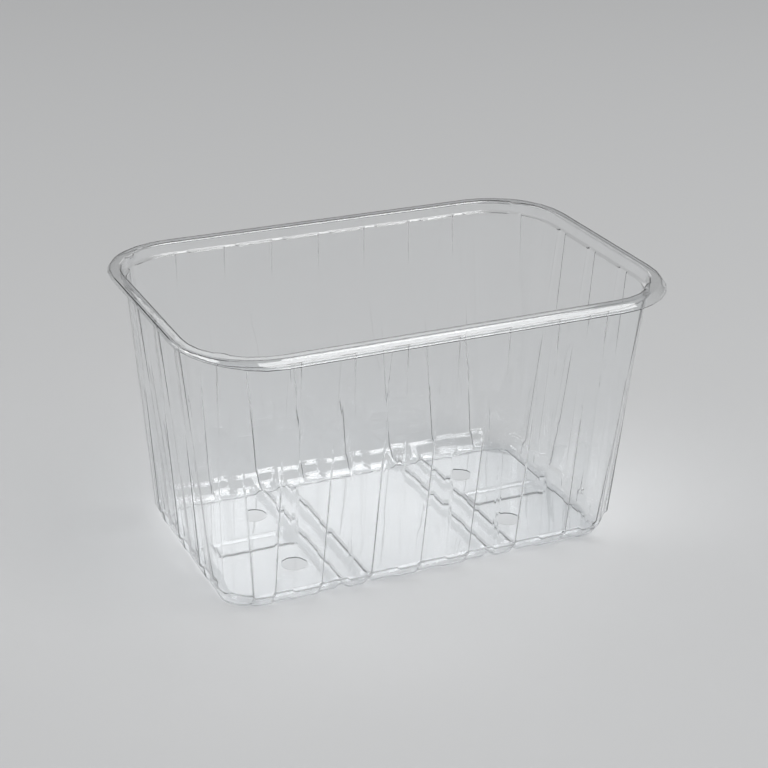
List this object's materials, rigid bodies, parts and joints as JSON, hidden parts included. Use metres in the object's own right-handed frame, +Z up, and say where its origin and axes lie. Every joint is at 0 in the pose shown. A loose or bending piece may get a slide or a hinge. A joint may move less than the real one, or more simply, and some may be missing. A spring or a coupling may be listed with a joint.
{
  "type": "fruit punnet",
  "caption": "Clear thermoformed fruit punnet with a flat sealing rim, fluted leaning walls, a stepped heel and a raised base with channels and drain holes.",
  "frame": {"origin": "on the ground under the middle of the base, which is the bottom centre of the bounding box", "axes": "+Z up through the open mouth, +X along the long sides, +Y across to the back wall"},
  "size_m": [0.191, 0.128, 0.104],
  "materials": {
    "clear_pet": "clear, glossy PET sheet with a faint cool tint and slight drawing ripples"
  },
  "bodies": {
    "root": {"rim_front": "clear_pet", "rim_right": "clear_pet", "rim_back": "clear_pet", "rim_left": "clear_pet", "rim_corner_front_right": "clear_pet", "rim_corner_back_right": "clear_pet", "rim_corner_back_left": "clear_pet", "rim_corner_front_left": "clear_pet", "wall_front": "clear_pet", "wall_right": "clear_pet", "wall_back": "clear_pet", "wall_left": "clear_pet", "wall_corner_front_right": "clear_pet", "wall_corner_back_right": "clear_pet", "wall_corner_back_left": "clear_pet", "wall_corner_front_left": "clear_pet", "heel_front": "clear_pet", "heel_right": "clear_pet", "heel_back": "clear_pet", "heel_left": "clear_pet", "heel_corner_front_right": "clear_pet", "heel_corner_back_right": "clear_pet", "heel_corner_back_left": "clear_pet", "heel_corner_front_left": "clear_pet", "floor_centre": "clear_pet", "floor_channels_right": "clear_pet", "floor_channels_left": "clear_pet", "floor_recess_right": "clear_pet", "floor_recess_left": "clear_pet", "floor_drain_front_right": "clear_pet", "floor_drain_back_right": "clear_pet", "floor_drain_back_left": "clear_pet", "floor_drain_front_left": "clear_pet"}
  },
  "joints": []
}
